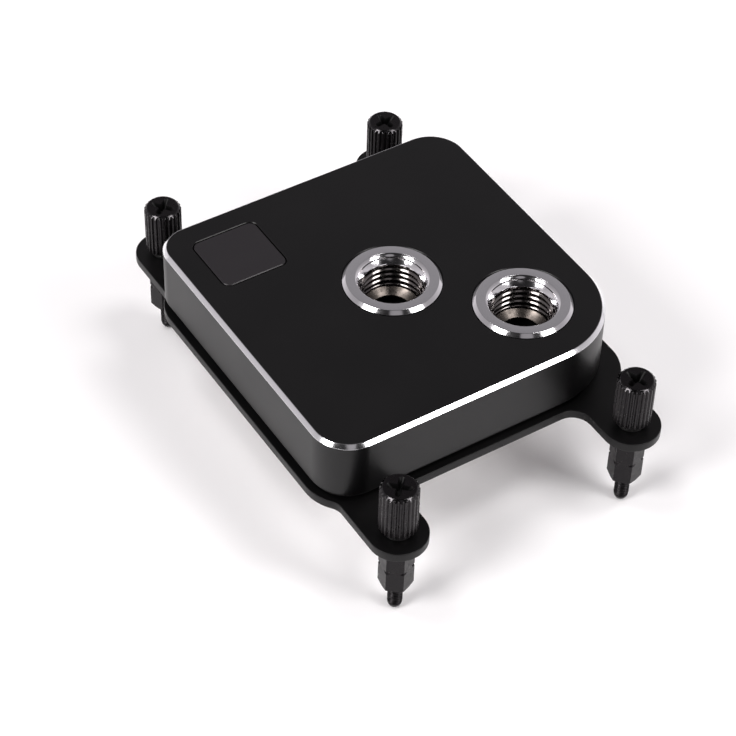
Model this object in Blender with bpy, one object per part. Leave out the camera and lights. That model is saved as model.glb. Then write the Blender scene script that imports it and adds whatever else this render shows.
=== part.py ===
"""CPU water block with a threaded port pair, a four-tab mounting frame and sprung thumb screws.

Units are metres, +Z is up. The origin is the centre of the cold plate's contact face, in the
middle of the mounting hole pattern. X runs along the short side of the pattern, Y along the long one.
"""

import math

import bmesh
import bpy
from mathutils import Vector

# Cover, a square with four different corner radii
COVER_SIZE = 0.070
COVER_H = 0.01325
COVER_FOOT_GAP = 0.0015
COVER_WALL_T = 0.0025
COVER_TOP_T = 0.0030
COVER_CHAMFER = 0.0007
CORNER_R_FRONT_LEFT = 0.0080
CORNER_R_FRONT_RIGHT = 0.0170
CORNER_R_BACK_RIGHT = 0.0080
CORNER_R_BACK_LEFT = 0.0065

# Mounting hole pattern of the processor socket, 54 by 90 mm, from the cover's sides
HOLE_INSET_X = 0.008
HOLE_OUTSET_Y = 0.010
HOLE_PITCH_X = COVER_SIZE - 2 * HOLE_INSET_X
HOLE_PITCH_Y = COVER_SIZE + 2 * HOLE_OUTSET_Y

# Running and seating clearance between separate pieces
CLEAR = 0.0003

# Cold plate: flange, raised boss, fins
COLD_INSET = 0.001
COLD_SIZE = COVER_SIZE - 2 * COLD_INSET
COLD_CORNER_R = 0.0085
COLD_FLANGE_T = 0.0027
COLD_EDGE_CHAMFER = 0.0004
FIN_FIELD_X = 0.026
FIN_FIELD_Y = 0.028
FIN_H = 0.0020
FIN_PITCH = 0.0010
FIN_GAP = 0.0005

# Mounting frame, a little wider than the cover, and its opening, a little narrower
BRACKET_MARGIN = 0.001
BRACKET_SIZE = COVER_SIZE + 2 * BRACKET_MARGIN
BRACKET_T = 0.0020
BRACKET_CORNER_R = 0.0095
OPENING_INSET = 0.004
BRACKET_OPENING = COVER_SIZE - 2 * OPENING_INSET
BRACKET_OPENING_R = 0.005
BRACKET_HOLE_GAP = 0.00055
TAB_R = 0.0060
TAB_INNER_FILLET_R = 0.0040
TAB_OUTER_FILLET_R = 0.0035

# Badge plate inlaid in the cover, near its back left corner
BADGE_INSET_X = 0.01305
BADGE_INSET_Y = 0.01285
BADGE_SIZE = 0.0142
BADGE_CORNER_R = 0.0016
BADGE_T = 0.0008

# Flow body inside the cover
LIP_INSET = 0.0007
CHAMBER_DEPTH = 0.0019
CHAMBER_CORNER_R = 0.004
CHAMBER_WALL_T = 0.0015

# Jet plate
JET_MARGIN_X = 0.0015
JET_MARGIN_Y = 0.0010
JET_T = 0.0005
JET_CORNER_R = 0.001
JET_SLOT_W = 0.0016
JET_SLOT_END = 0.0020

# Main seal between cold plate and flow body
MAIN_SEAL_R = 0.0008
MAIN_SEAL_CORNER_R = 0.006
SEAL_TO_SCREW = 0.0035

# Cold plate screws, set in from the cover's largest corner radius
SCREW_TO_CORNER = 0.0055
SCREW_R = 0.00125
SCREW_HEAD_R = 0.0024
SCREW_HEAD_RIM_T = 0.0003
SCREW_L = 0.0085
SCREW_TIP_GAP = 0.0005
SCREW_SOCKET_R = 0.0009
SCREW_SOCKET_DEPTH = 0.0009

# Ports: insert collar, thread bore, counterbore
PORT_FLANGE_W = 0.00175
PORT_PROUD = 0.00065
PORT_COLLAR_CHAMFER = 0.0007
PORT_SINK = 0.0008
PORT_BORE_R = 0.00572
PORT_WALL_T = 0.0025
PORT_MOUTH_STEP = 0.00148
PORT_MOUTH_CHAMFER = 0.0002
PORT_MOUTH_DEPTH = 0.0016
PORT_LEAD_DEPTH = 0.0011
PORT_FLOOR_T = 0.0014
PORT_SEAL_R = 0.00075
PORT_SEAL_WALL = 0.0004
INLET_DUCT_R = 0.0045
OUTLET_DUCT_R = 0.0034

# Thumb screw: knurled cap, bell inside it, threaded shank
CAP_WALL_T = 0.00075
CAP_FLUTE_DEPTH = 0.0003
CAP_FLUTES = 24
CAP_H = 0.0106
CAP_LIFT = 0.0016
CAP_TOP_CHAMFER = 0.0006
CAP_FOOT_CHAMFER = 0.0002
CAP_ROOF_T = 0.0024
SPRING_ROOM = 0.0013
RECESS_DEPTH = 0.0015
RECESS_SPAN = 0.0052
RECESS_W = 0.0012
RECESS_TAPER = 0.6
SHANK_R = 0.00175
SHANK_REACH = 0.0080
SHANK_TIP_CHAMFER = 0.0004

# Spring and washers inside the bell
SPRING_WIRE_R = 0.00025
SPRING_TURNS = 4.0
WASHER_T = 0.0005
SLIP_WASHER_T = 0.0004

# Standoff under each tab
STANDOFF_WALL_T = 0.00095
STANDOFF_HEX_L = 0.0121
STANDOFF_CHAMFER = 0.0005
SHANK_TIP_ROOM = 0.0015
STUB_R = 0.0015
STUB_L = 0.0072
STUB_NOSE_DEG = (0, 35, 65, 80)

# Facets of round shapes
ARC_STEPS = 5
PORT_FACETS = 36
SCREW_FACETS = 10
CAP_FACETS_INSIDE = 14
WASHER_FACETS = 12
SPRING_STEPS = 10
SEAL_FACETS = 20
HEX_STEPS = 18

# Levels, from the contact face up
Z_FLANGE_TOP = COLD_FLANGE_T
Z_BRACKET_BOTTOM = Z_FLANGE_TOP + CLEAR
Z_BRACKET_TOP = Z_BRACKET_BOTTOM + BRACKET_T
Z_BOSS_TOP = Z_BRACKET_TOP
Z_BODY_BOTTOM = Z_BOSS_TOP + CLEAR
Z_COVER_FOOT = Z_BRACKET_TOP + COVER_FOOT_GAP
Z_LIP_TOP = Z_COVER_FOOT - CLEAR
Z_COVER_TOP = Z_COVER_FOOT + COVER_H
Z_CEILING = Z_COVER_TOP - COVER_TOP_T
Z_BODY_TOP = Z_CEILING - CLEAR
Z_FIN_TOP = Z_BOSS_TOP + FIN_H
Z_JET_BOTTOM = Z_FIN_TOP + CLEAR
Z_JET_POCKET = Z_JET_BOTTOM + JET_T + CLEAR
Z_CHAMBER_TOP = Z_BODY_BOTTOM + CHAMBER_DEPTH
Z_PORT_TOP = Z_COVER_TOP + PORT_PROUD
Z_COLLAR_BOTTOM = Z_COVER_TOP - PORT_SINK
Z_PORT_SHOULDER = Z_JET_POCKET + PORT_FLOOR_T
Z_PORT_SEAL = Z_PORT_SHOULDER + CLEAR + PORT_SEAL_R
Z_PORT_BOTTOM = Z_PORT_SEAL + PORT_SEAL_R + CLEAR
Z_STANDOFF_TOP = Z_BRACKET_BOTTOM - CLEAR
Z_HEX_BOTTOM = Z_STANDOFF_TOP - STANDOFF_HEX_L
Z_STUB_TIP = Z_HEX_BOTTOM - STUB_L
Z_CAP_FOOT = Z_BRACKET_TOP + CAP_LIFT
Z_CAP_TOP = Z_CAP_FOOT + CAP_H
Z_BELL_ROOF = Z_CAP_TOP - CAP_ROOF_T
Z_SHANK_TIP = Z_BRACKET_TOP - SHANK_REACH
Z_STANDOFF_BORE = Z_SHANK_TIP - SHANK_TIP_ROOM
Z_SEAT_WASHER = Z_BRACKET_TOP + CLEAR
Z_SLIP_WASHER = Z_BELL_ROOF - CLEAR - SLIP_WASHER_T

# Sizes that follow from the ones above
COVER_RADII = (
    CORNER_R_BACK_RIGHT,
    CORNER_R_BACK_LEFT,
    CORNER_R_FRONT_LEFT,
    CORNER_R_FRONT_RIGHT,
)
BADGE_X = BADGE_INSET_X - COVER_SIZE / 2
BADGE_Y = COVER_SIZE / 2 - BADGE_INSET_Y
BOSS_SIZE = BRACKET_OPENING - 2 * CLEAR
BOSS_CORNER_R = BRACKET_OPENING_R - CLEAR
SCREW_OFFSET = COVER_SIZE / 2 - max(COVER_RADII) + (max(COVER_RADII) - SCREW_TO_CORNER) / math.sqrt(2)
SEAL_HALF = SCREW_OFFSET - SEAL_TO_SCREW
GROOVE_HALF_W = MAIN_SEAL_R + CLEAR
GROOVE_TOP = Z_BODY_BOTTOM + 2 * MAIN_SEAL_R + CLEAR
CHAMBER_SIZE = 2 * (SEAL_HALF - GROOVE_HALF_W - CHAMBER_WALL_T)
NECK_R = PORT_BORE_R + PORT_WALL_T
PORT_MOUTH_R = PORT_BORE_R + PORT_MOUTH_STEP
PORT_COLLAR_R = NECK_R + PORT_FLANGE_W
PORT_SEAL_RING_R = NECK_R - PORT_SEAL_R - PORT_SEAL_WALL
JET_SIZE_X = FIN_FIELD_X + 2 * JET_MARGIN_X
JET_SIZE_Y = FIN_FIELD_Y + 2 * JET_MARGIN_Y
BELL_R = SHANK_R + SPRING_ROOM
CAP_R = BELL_R + CAP_WALL_T
BRACKET_HOLE_R = SHANK_R + BRACKET_HOLE_GAP
STANDOFF_BORE_R = SHANK_R + CLEAR
STANDOFF_AF = 2 * (STANDOFF_BORE_R + STANDOFF_WALL_T)
WASHER_HOLE_R = SHANK_R + CLEAR
WASHER_R = BELL_R - CLEAR
SPRING_R = SHANK_R + SPRING_ROOM / 2
OVERCUT = 0.002

# The outlet port stands on the front right diagonal, midway between the inlet's collar and the corner
DIAGONAL = math.sqrt(2) * (COVER_SIZE / 2 - CORNER_R_FRONT_RIGHT) + CORNER_R_FRONT_RIGHT
OUTLET_X = (DIAGONAL + PORT_COLLAR_R) / 2 / math.sqrt(2)
OUTLET_Y = -OUTLET_X

# Each station's name, its side along X and Y, and how far its standoff and thumb screw are turned, in degrees
STATIONS = (
    ("front_left", -1, -1, 22.7, 46.0),
    ("front_right", 1, -1, 14.0, 16.5),
    ("back_left", -1, 1, 44.7, 37.5),
    ("back_right", 1, 1, 30.0, 7.5),
)


# Plane outlines

def arc(cx, cy, radius, start_deg, end_deg, steps):
    """Points of an arc, ends included."""
    points = []
    for k in range(steps + 1):
        a = math.radians(start_deg + (end_deg - start_deg) * k / steps)
        points.append((cx + radius * math.cos(a), cy + radius * math.sin(a)))
    return points


def rounded_rectangle(size_x, size_y, radii, cx=0.0, cy=0.0):
    """Counter-clockwise outline. Radii run back right, back left, front left, front right."""
    corners = ((1, 1), (-1, 1), (-1, -1), (1, -1))
    points = []
    for k, (sx, sy) in enumerate(corners):
        r = max(radii[k], 0.0002)
        ox = cx + sx * (size_x / 2 - r)
        oy = cy + sy * (size_y / 2 - r)
        points += arc(ox, oy, r, 90 * k, 90 * k + 90, ARC_STEPS)
    return points


def rounded_square(size, radius, inset=0.0):
    """Square outline with one corner radius, moved inwards by inset."""
    r = radius - inset
    return rounded_rectangle(size - 2 * inset, size - 2 * inset, (r, r, r, r))


def cover_outline(inset):
    """The cover's outline, moved inwards by inset."""
    size = COVER_SIZE - 2 * inset
    return rounded_rectangle(size, size, [r - inset for r in COVER_RADII])


def circle(radius, count, cx=0.0, cy=0.0):
    """Closed circle of count points."""
    return arc(cx, cy, radius, 0, 360, count)[:-1]


def bracket_outline():
    """Square frame with four round-ended tabs, drawn for one corner and reflected."""
    hole_x = HOLE_PITCH_X / 2
    hole_y = HOLE_PITCH_Y / 2
    side_x = BRACKET_SIZE / 2
    side_y = BRACKET_SIZE / 2
    r = BRACKET_CORNER_R
    rf = TAB_OUTER_FILLET_R
    ri = min(TAB_INNER_FILLET_R, hole_y - side_y)
    cx = side_x - r
    cy = side_y - r
    fillet_x = hole_x + TAB_R + rf
    run = max((r + rf) ** 2 - (fillet_x - cx) ** 2, 0.0)
    fillet_y = cy + math.sqrt(run)
    turn = math.degrees(math.atan2(fillet_y - cy, fillet_x - cx))
    quarter = arc(cx, cy, r, 0, turn, ARC_STEPS)
    quarter += arc(fillet_x, fillet_y, rf, 180 + turn, 180, ARC_STEPS)[1:]
    quarter += arc(hole_x, hole_y, TAB_R, 0, 180, 3 * ARC_STEPS)
    quarter += arc(hole_x - TAB_R - ri, side_y + ri, ri, 0, -90, ARC_STEPS)
    points = list(quarter)
    points += [(-x, y) for x, y in reversed(quarter)]
    points += [(-x, -y) for x, y in quarter]
    points += [(x, -y) for x, y in reversed(quarter)]
    kept = []
    for p in points:
        if not kept or math.dist(p, kept[-1]) > 1e-6:
            kept.append(p)
    return kept


def knurl_outline(depth):
    """Circle with straight flutes: a flat crest and a sunk root for each."""
    points = []
    for k in range(CAP_FLUTES):
        for share, sink in ((0.0, 0.0), (0.45, 0.0), (0.72, depth)):
            a = 2 * math.pi * (k + share) / CAP_FLUTES
            r = CAP_R - sink
            points.append((r * math.cos(a), r * math.sin(a)))
    return points


# Mesh builders

def mesh_from(bm, name):
    """Close a bmesh into a mesh with its faces pointing out."""
    bmesh.ops.remove_doubles(bm, verts=bm.verts, dist=1e-6)
    bmesh.ops.recalc_face_normals(bm, faces=bm.faces)
    mesh = bpy.data.meshes.new(name)
    bm.to_mesh(mesh)
    bm.free()
    return mesh


def add_loft(bm, sections):
    """Add a closed body through sections of equal point count, each (points, z)."""
    rings = []
    for points, z in sections:
        rings.append([bm.verts.new((x, y, z)) for x, y in points])
    count = len(rings[0])
    for low, high in zip(rings, rings[1:]):
        for k in range(count):
            n = (k + 1) % count
            bm.faces.new((low[k], low[n], high[n], high[k]))
    bm.faces.new(list(reversed(rings[0])))
    bm.faces.new(rings[-1])


def loft(name, sections):
    """One closed body through the sections."""
    bm = bmesh.new()
    add_loft(bm, sections)
    return mesh_from(bm, name)


def lofts(name, bodies):
    """Several separate closed bodies in one mesh."""
    bm = bmesh.new()
    for sections in bodies:
        add_loft(bm, sections)
    return mesh_from(bm, name)


def add_turned(bm, profile, facets, cx=0.0, cy=0.0, closed=False):
    """Spin a profile of (radius, z) about the vertical line through cx, cy."""
    verts = [bm.verts.new((cx + r, cy, z)) for r, z in profile]
    edges = [bm.edges.new(pair) for pair in zip(verts, verts[1:])]
    if closed:
        edges.append(bm.edges.new((verts[-1], verts[0])))
    bmesh.ops.spin(
        bm,
        geom=verts + edges,
        cent=Vector((cx, cy, 0.0)),
        axis=Vector((0.0, 0.0, 1.0)),
        angle=2 * math.pi,
        steps=facets,
        use_merge=True,
    )


def turned(name, profile, facets, closed=False):
    """One turned body."""
    bm = bmesh.new()
    add_turned(bm, profile, facets, closed=closed)
    return mesh_from(bm, name)


def ring_profile(inner, outer, low, high):
    """Closed rectangular profile of a washer."""
    return [(inner, low), (outer, low), (outer, high), (inner, high)]


def rod_sections(radius, low, high, facets, cx=0.0, cy=0.0):
    """Sections of a plain cylinder."""
    outline = circle(radius, facets, cx, cy)
    return [(outline, low), (outline, high)]


# Objects and materials

def material(name, colour, roughness, metallic):
    """Principled material."""
    mat = bpy.data.materials.new(name)
    mat.use_nodes = True
    mat.diffuse_color = (*colour, 1.0)
    shader = mat.node_tree.nodes["Principled BSDF"]
    shader.inputs["Base Color"].default_value = (*colour, 1.0)
    shader.inputs["Roughness"].default_value = roughness
    shader.inputs["Metallic"].default_value = metallic
    return mat


def place(name, data, mat, parent=None, location=(0.0, 0.0, 0.0)):
    """Put an object in the scene."""
    obj = bpy.data.objects.new(name, data)
    bpy.context.scene.collection.objects.link(obj)
    obj.location = location
    obj.parent = parent
    if mat:
        data.materials.clear()
        data.materials.append(mat)
    return obj


def smooth(obj, angle_deg=35):
    """Shade round walls smooth and keep real edges sharp."""
    obj.data.shade_smooth()
    obj.data.set_sharp_from_angle(angle=math.radians(angle_deg))


def combined(mesh, tool_mesh, operation="DIFFERENCE"):
    """Result of one exact Boolean between two meshes."""
    target = place("target", mesh, None)
    tool = place("tool", tool_mesh, None)
    step = target.modifiers.new("Boolean", "BOOLEAN")
    step.operation = operation
    step.solver = "EXACT"
    step.object = tool
    bpy.context.view_layer.update()
    graph = bpy.context.evaluated_depsgraph_get()
    result = bpy.data.meshes.new_from_object(target.evaluated_get(graph))
    bpy.data.objects.remove(target)
    bpy.data.objects.remove(tool)
    return result


# Pieces

def make_cover(mat):
    """Housing with a chamfered rim, open below, with two stepped port holes and a badge seat."""
    mesh = loft("cover", [
        (cover_outline(0.0), Z_COVER_FOOT),
        (cover_outline(0.0), Z_COVER_TOP - COVER_CHAMFER),
        (cover_outline(COVER_CHAMFER), Z_COVER_TOP),
    ])
    hollow = loft("hollow", [
        (cover_outline(COVER_WALL_T), Z_COVER_FOOT - OVERCUT),
        (cover_outline(COVER_WALL_T), Z_CEILING),
    ])
    mesh = combined(mesh, hollow)
    steps = []
    for x, y in ((0.0, 0.0), (OUTLET_X, OUTLET_Y)):
        neck = circle(NECK_R + CLEAR, PORT_FACETS, x, y)
        collar = circle(PORT_COLLAR_R + CLEAR, PORT_FACETS, x, y)
        steps.append([
            (neck, Z_CEILING - OVERCUT),
            (neck, Z_COLLAR_BOTTOM - CLEAR),
            (collar, Z_COLLAR_BOTTOM - CLEAR),
            (collar, Z_COVER_TOP + OVERCUT),
        ])
    grown = BADGE_SIZE + 2 * CLEAR
    seat_r = BADGE_CORNER_R + CLEAR
    seat = rounded_rectangle(grown, grown, (seat_r, seat_r, seat_r, seat_r), BADGE_X, BADGE_Y)
    steps.append([
        (seat, Z_COVER_TOP - BADGE_T - CLEAR),
        (seat, Z_COVER_TOP + OVERCUT),
    ])
    mesh = combined(mesh, lofts("holes", steps))
    smooth(place("cover", mesh, mat))


def make_badge(mat):
    """Inlaid plate, flush with the cover's top and left bare."""
    radii = (BADGE_CORNER_R, BADGE_CORNER_R, BADGE_CORNER_R, BADGE_CORNER_R)
    outline = rounded_rectangle(BADGE_SIZE, BADGE_SIZE, radii)
    mesh = loft("badge_plate", [(outline, -BADGE_T), (outline, 0.0)])
    smooth(place("badge_plate", mesh, mat, location=(BADGE_X, BADGE_Y, Z_COVER_TOP)))


def make_port(name, x, y, metal, rubber):
    """Threaded insert, turned about its bore, and the ring seal below it."""
    mouth = Z_PORT_TOP - PORT_MOUTH_DEPTH
    profile = [
        (PORT_BORE_R, Z_PORT_BOTTOM),
        (NECK_R, Z_PORT_BOTTOM),
        (NECK_R, Z_COLLAR_BOTTOM),
        (PORT_COLLAR_R, Z_COLLAR_BOTTOM),
        (PORT_COLLAR_R, Z_PORT_TOP - PORT_PROUD),
        (PORT_COLLAR_R - PORT_COLLAR_CHAMFER, Z_PORT_TOP),
        (PORT_MOUTH_R + PORT_MOUTH_CHAMFER, Z_PORT_TOP),
        (PORT_MOUTH_R, Z_PORT_TOP - PORT_MOUTH_CHAMFER),
        (PORT_MOUTH_R, mouth),
        (PORT_BORE_R, mouth - PORT_LEAD_DEPTH),
    ]
    mesh = turned(name + "_port_insert", profile, PORT_FACETS, closed=True)
    smooth(place(name + "_port_insert", mesh, metal, location=(x, y, 0.0)))
    section = [(PORT_SEAL_RING_R + px, py) for px, py in circle(PORT_SEAL_R, 6)]
    mesh = turned(name + "_port_seal", section, SEAL_FACETS, closed=True)
    smooth(place(name + "_port_seal", mesh, rubber, location=(x, y, Z_PORT_SEAL)), 70)


def screw_places():
    """The eight cold plate screws: corners and side middles."""
    s = SCREW_OFFSET
    return [(x, y) for x in (-s, 0.0, s) for y in (-s, 0.0, s) if (x, y) != (0.0, 0.0)]


def make_flow_body(mat):
    """Plastic body: lip under the cover's foot, port bores, return chamber, jet pocket, seal groove."""
    lip = cover_outline(LIP_INSET)
    block = cover_outline(COVER_WALL_T + CLEAR)
    mesh = loft("flow_body", [
        (lip, Z_BODY_BOTTOM),
        (lip, Z_LIP_TOP),
        (block, Z_LIP_TOP),
        (block, Z_BODY_TOP),
    ])
    bores = []
    for x, y in ((0.0, 0.0), (OUTLET_X, OUTLET_Y)):
        bores.append(rod_sections(
            NECK_R + CLEAR, Z_PORT_SHOULDER, Z_BODY_TOP + OVERCUT, PORT_FACETS, x, y))
    tip = SCREW_L + SCREW_TIP_GAP
    for x, y in screw_places():
        bores.append(rod_sections(SCREW_R + CLEAR, Z_BODY_BOTTOM - OVERCUT, tip, SCREW_FACETS, x, y))
    mesh = combined(mesh, lofts("bores", bores))
    groove_r = MAIN_SEAL_CORNER_R + GROOVE_HALF_W
    around = rounded_square(2 * (SEAL_HALF + GROOVE_HALF_W), groove_r)
    island = rounded_square(2 * (SEAL_HALF + GROOVE_HALF_W), groove_r, 2 * GROOVE_HALF_W)
    ring = combined(
        loft("ring", [(around, Z_BODY_BOTTOM - OVERCUT), (around, GROOVE_TOP)]),
        loft("island", [(island, Z_BODY_BOTTOM - 2 * OVERCUT), (island, GROOVE_TOP + OVERCUT)]),
    )
    mesh = combined(mesh, ring)
    chamber = rounded_square(CHAMBER_SIZE, CHAMBER_CORNER_R)
    mesh = combined(mesh, loft("chamber", [
        (chamber, Z_BODY_BOTTOM - OVERCUT),
        (chamber, Z_CHAMBER_TOP),
    ]))
    grown = JET_CORNER_R + CLEAR
    pocket = rounded_rectangle(
        JET_SIZE_X + 2 * CLEAR, JET_SIZE_Y + 2 * CLEAR, (grown, grown, grown, grown))
    mesh = combined(mesh, loft("pocket", [
        (pocket, Z_BODY_BOTTOM - OVERCUT),
        (pocket, Z_JET_POCKET),
    ]))
    low = Z_BODY_BOTTOM - OVERCUT
    high = Z_PORT_SHOULDER + CLEAR
    out_x = CHAMBER_SIZE / 2 - OUTLET_DUCT_R
    out_y = -out_x
    mesh = combined(mesh, lofts("ducts", [
        rod_sections(INLET_DUCT_R, low, high, SCREW_FACETS + 6),
        rod_sections(OUTLET_DUCT_R, low, high, SCREW_FACETS + 6, out_x, out_y),
    ]))
    smooth(place("flow_body", mesh, mat))


def make_jet_plate(mat):
    """Thin plate over the fins, with one long slot across their middle."""
    radii = (JET_CORNER_R, JET_CORNER_R, JET_CORNER_R, JET_CORNER_R)
    plate = rounded_rectangle(JET_SIZE_X, JET_SIZE_Y, radii)
    end = JET_SLOT_W / 2
    slot = rounded_rectangle(JET_SIZE_X - 2 * JET_SLOT_END, JET_SLOT_W, (end, end, end, end))
    mesh = combined(
        loft("plate", [(plate, 0.0), (plate, JET_T)]),
        loft("slot", [(slot, -OVERCUT), (slot, JET_T + OVERCUT)]),
    )
    smooth(place("jet_plate", mesh, mat, location=(0.0, 0.0, Z_JET_BOTTOM)))


def make_main_seal(mat):
    """Ring seal that lies on the boss, in the flow body's groove."""
    curve = bpy.data.curves.new("main_seal", "CURVE")
    curve.dimensions = "3D"
    curve.bevel_depth = MAIN_SEAL_R
    curve.bevel_resolution = 1
    path = rounded_square(2 * SEAL_HALF, MAIN_SEAL_CORNER_R)
    spline = curve.splines.new("POLY")
    spline.points.add(len(path) - 1)
    for point, (x, y) in zip(spline.points, path):
        point.co = (x, y, 0.0, 1.0)
    spline.use_cyclic_u = True
    place("main_seal", curve, mat, location=(0.0, 0.0, Z_BOSS_TOP + CLEAR + MAIN_SEAL_R))


def make_cold_plate(mat):
    """Flanged base with a raised boss, fins milled into its top and countersunk holes."""
    c = COLD_EDGE_CHAMFER
    fins = rounded_rectangle(FIN_FIELD_X, FIN_FIELD_Y, (0.0, 0.0, 0.0, 0.0))
    mesh = loft("cold_plate", [
        (rounded_square(COLD_SIZE, COLD_CORNER_R, c), 0.0),
        (rounded_square(COLD_SIZE, COLD_CORNER_R), c),
        (rounded_square(COLD_SIZE, COLD_CORNER_R), Z_FLANGE_TOP),
        (rounded_square(BOSS_SIZE, BOSS_CORNER_R), Z_FLANGE_TOP),
        (rounded_square(BOSS_SIZE, BOSS_CORNER_R), Z_BOSS_TOP),
        (fins, Z_BOSS_TOP),
        (fins, Z_FIN_TOP),
    ])
    count = int((FIN_FIELD_X - (FIN_PITCH - FIN_GAP)) / FIN_PITCH + 1e-6)
    first = -(count - 1) * FIN_PITCH / 2
    floor = Z_BOSS_TOP + CLEAR / 3
    slots = []
    for k in range(count):
        x = first + k * FIN_PITCH
        half = FIN_GAP / 2
        reach = FIN_FIELD_Y / 2 + CLEAR
        box = [(x - half, -reach), (x + half, -reach), (x + half, reach), (x - half, reach)]
        slots.append([(box, floor), (box, Z_FIN_TOP + CLEAR)])
    mesh = combined(mesh, lofts("slots", slots))
    sinks = []
    for x, y in screw_places():
        shaft = circle(SCREW_R + CLEAR, SCREW_FACETS, x, y)
        rim = circle(SCREW_HEAD_R + CLEAR, SCREW_FACETS, x, y)
        flat = SCREW_HEAD_RIM_T + CLEAR
        sinks.append([
            (rim, -OVERCUT),
            (rim, flat),
            (shaft, flat + SCREW_HEAD_R - SCREW_R),
            (shaft, Z_BOSS_TOP + OVERCUT),
        ])
    mesh = combined(mesh, lofts("sinks", sinks))
    smooth(place("cold_plate", mesh, mat), 30)


def make_cold_plate_screws(mat):
    """Countersunk socket screws, their heads just inside the contact face."""
    sunk = CLEAR / 3
    cone_top = sunk + SCREW_HEAD_RIM_T + SCREW_HEAD_R - SCREW_R
    rim = circle(SCREW_HEAD_R, SCREW_FACETS)
    shaft = circle(SCREW_R, SCREW_FACETS)
    body = loft("screw", [
        (rim, sunk),
        (rim, sunk + SCREW_HEAD_RIM_T),
        (shaft, cone_top),
        (shaft, SCREW_L),
    ])
    hexagon = circle(SCREW_SOCKET_R, 6)
    socket = loft("socket", [(hexagon, sunk - OVERCUT), (hexagon, sunk + SCREW_SOCKET_DEPTH)])
    mesh = combined(body, socket)
    mesh.name = "cold_plate_screw"
    for k, (x, y) in enumerate(screw_places()):
        smooth(place(f"cold_plate_screw_{k + 1}", mesh, mat, location=(x, y, 0.0)))


def make_bracket(mat):
    """Flat frame with a square opening for the boss and a hole in each tab."""
    outline = bracket_outline()
    mesh = loft("bracket", [(outline, Z_BRACKET_BOTTOM), (outline, Z_BRACKET_TOP)])
    low = Z_BRACKET_BOTTOM - OVERCUT
    high = Z_BRACKET_TOP + OVERCUT
    opening = rounded_square(BRACKET_OPENING, BRACKET_OPENING_R)
    cuts = [[(opening, low), (opening, high)]]
    for _, sx, sy, _, _ in STATIONS:
        cuts.append(rod_sections(
            BRACKET_HOLE_R, low, high, CAP_FACETS_INSIDE, sx * HOLE_PITCH_X / 2, sy * HOLE_PITCH_Y / 2))
    mesh = combined(mesh, lofts("cuts", cuts))
    smooth(place("bracket", mesh, mat))


def thumb_screw_mesh():
    """Knurled cap, hollow from below, with a threaded shank down its middle and a cross recess on top."""
    t = CAP_TOP_CHAMFER
    f = CAP_FOOT_CHAMFER
    crest = knurl_outline(CAP_FLUTE_DEPTH)
    count = len(crest)
    mesh = loft("cap", [
        (circle(CAP_R - CAP_FLUTE_DEPTH - f, count), Z_CAP_FOOT),
        (crest, Z_CAP_FOOT + f + CAP_FLUTE_DEPTH),
        (crest, Z_CAP_TOP - t),
        (circle(CAP_R - t, count), Z_CAP_TOP),
    ])
    bell = loft("bell", rod_sections(
        BELL_R, Z_CAP_FOOT - OVERCUT, Z_BELL_ROOF, CAP_FACETS_INSIDE))
    mesh = combined(mesh, bell)
    shank = loft("shank", [
        (circle(SHANK_R - SHANK_TIP_CHAMFER, CAP_FACETS_INSIDE), Z_SHANK_TIP),
        (circle(SHANK_R, CAP_FACETS_INSIDE), Z_SHANK_TIP + SHANK_TIP_CHAMFER),
        (circle(SHANK_R, CAP_FACETS_INSIDE), Z_BELL_ROOF + CAP_ROOF_T / 4),
    ])
    mesh = combined(mesh, shank, "UNION")
    half = RECESS_SPAN / 2
    w = RECESS_W / 2
    cross = [
        (half, -w), (half, w), (w, w), (w, half), (-w, half), (-w, w),
        (-half, w), (-half, -w), (-w, -w), (-w, -half), (w, -half), (w, -w),
    ]
    taper = [(x * RECESS_TAPER, y * RECESS_TAPER) for x, y in cross]
    recess = loft("recess", [(taper, Z_CAP_TOP - RECESS_DEPTH), (cross, Z_CAP_TOP + CLEAR)])
    mesh = combined(mesh, recess)
    mesh.name = "thumb_screw"
    return mesh


def spring_curve():
    """Compression spring between the two washers, wound around the shank."""
    low = Z_SEAT_WASHER + WASHER_T + CLEAR + SPRING_WIRE_R
    high = Z_SLIP_WASHER - CLEAR - SPRING_WIRE_R
    curve = bpy.data.curves.new("spring", "CURVE")
    curve.dimensions = "3D"
    curve.bevel_depth = SPRING_WIRE_R
    curve.bevel_resolution = 1
    curve.use_fill_caps = True
    steps = int(round(SPRING_TURNS * SPRING_STEPS))
    spline = curve.splines.new("POLY")
    spline.points.add(steps)
    for k in range(steps + 1):
        a = 2 * math.pi * k / SPRING_STEPS
        z = low + (high - low) * k / steps
        spline.points[k].co = (SPRING_R * math.cos(a), SPRING_R * math.sin(a), z, 1.0)
    return curve


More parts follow.
